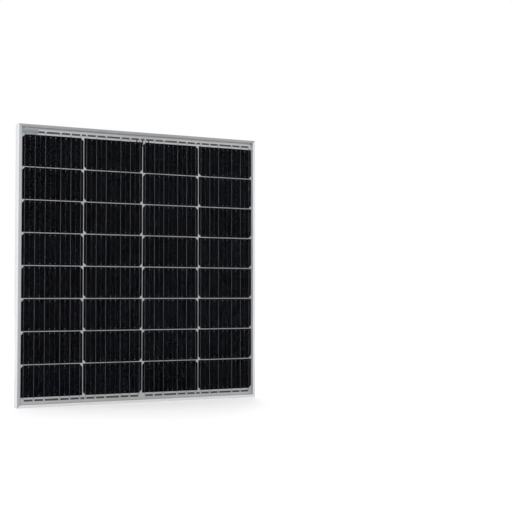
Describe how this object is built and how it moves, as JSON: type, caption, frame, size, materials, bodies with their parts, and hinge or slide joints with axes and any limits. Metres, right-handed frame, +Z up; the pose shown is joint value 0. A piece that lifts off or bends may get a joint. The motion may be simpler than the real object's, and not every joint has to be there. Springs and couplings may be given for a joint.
{
  "type": "framed solar panel",
  "caption": "Glass-fronted monocrystalline solar panel in a silver aluminium frame, with a rear junction box and two short leads with locking connectors.",
  "frame": {"origin": "middle of the bottom bar's outer face, which the panel stands on", "axes": "+X to the right as seen from the front, +Y out of the back, +Z up; the glass faces -Y"},
  "size_m": [0.69, 0.03, 0.73],
  "materials": {
    "frame_metal": "satin silver anodised",
    "key_metal": "mill finish",
    "front_glass": "low-iron tempered, gloss",
    "encapsulant": "clear",
    "cell_silicon": "dark anti-reflection coat",
    "tinned_ribbon": "tinned, satin",
    "paper_strip": "matte",
    "white_backsheet": "satin white",
    "seal_foam": "matte",
    "black_plastic": "moulded satin",
    "grey_plastic": "moulded satin",
    "white_silicone": "matte",
    "black_rubber": "matte",
    "red_rubber": "matte",
    "terminal_metal": "tinned",
    "diode_body": "epoxy",
    "cable_jacket": "satin",
    "marker_tape": "satin",
    "tie_nylon": "satin",
    "label_film": "satin blue-grey",
    "sticker_film": "satin white"
  },
  "bodies": {
    "root": {"frame_top": "frame_metal", "frame_bottom": "frame_metal", "frame_left": "frame_metal", "frame_right": "frame_metal", "corner_key_top_left": "key_metal", "corner_key_top_right": "key_metal", "corner_key_bottom_left": "key_metal", "corner_key_bottom_right": "key_metal", "glass_pane": "front_glass", "front_encapsulant": "encapsulant", "rear_encapsulant": "encapsulant", "cell_string_1": "cell_silicon", "cell_string_2": "cell_silicon", "cell_string_3": "cell_silicon", "cell_string_4": "cell_silicon", "top_bus_left": "tinned_ribbon", "top_bus_middle": "tinned_ribbon", "top_bus_right": "tinned_ribbon", "bottom_bus_left": "tinned_ribbon", "bottom_bus_right": "tinned_ribbon", "serial_strip": "paper_strip", "backsheet": "white_backsheet", "edge_seal": "seal_foam", "box_adhesive": "white_silicone", "junction_box_base": "black_plastic", "junction_box_gasket": "black_rubber", "gland_seal_plus": "black_rubber", "lead_plus": "cable_jacket", "gland_seal_minus": "black_rubber", "lead_minus": "cable_jacket", "terminal_plus": "terminal_metal", "terminal_middle": "terminal_metal", "terminal_minus": "terminal_metal", "bypass_diode_left": "diode_body", "bypass_diode_right": "diode_body", "female_connector_housing": "black_plastic", "female_contact": "terminal_metal", "female_cable_seal": "black_rubber", "male_connector_housing": "black_plastic", "male_contact": "terminal_metal", "male_cable_seal": "black_rubber", "male_seal_ring": "red_rubber", "cable_tie_1": "tie_nylon", "cable_tie_2": "tie_nylon", "lead_sleeve": "black_rubber", "marker_band": "marker_tape", "rating_label": "label_film", "small_sticker": "sticker_film"},
    "box_lid": {"junction_box_lid": "black_plastic"},
    "gland_nut_plus": {"gland_nut_plus": "grey_plastic"},
    "gland_nut_minus": {"gland_nut_minus": "grey_plastic"},
    "female_nut": {"female_connector_nut": "black_plastic"},
    "male_nut": {"male_connector_nut": "black_plastic"}
  },
  "joints": [
    {"name": "lid_lift", "type": "slide", "parent": "root", "child": "box_lid", "axis": [0, 1, 0], "range_m": [0, 0.015]},
    {"name": "gland_plus_turn", "type": "hinge", "parent": "root", "child": "gland_nut_plus", "pos_m": [0.0115, 0.0003, 0.6455], "axis": [0, 0, 1], "range_deg": [0, 720]},
    {"name": "gland_minus_turn", "type": "hinge", "parent": "root", "child": "gland_nut_minus", "pos_m": [-0.0115, 0.0003, 0.6455], "axis": [0, 0, 1], "range_deg": [0, 720]},
    {"name": "female_nut_turn", "type": "hinge", "parent": "root", "child": "female_nut", "pos_m": [-0.1733, 0.0019, 0.4526], "axis": [-0.9472, 0, 0.3205], "range_deg": [0, 720]},
    {"name": "male_nut_turn", "type": "hinge", "parent": "root", "child": "male_nut", "pos_m": [0.0455, 0.0023, 0.4823], "axis": [0.6119, 0, 0.791], "range_deg": [0, 720]}
  ]
}
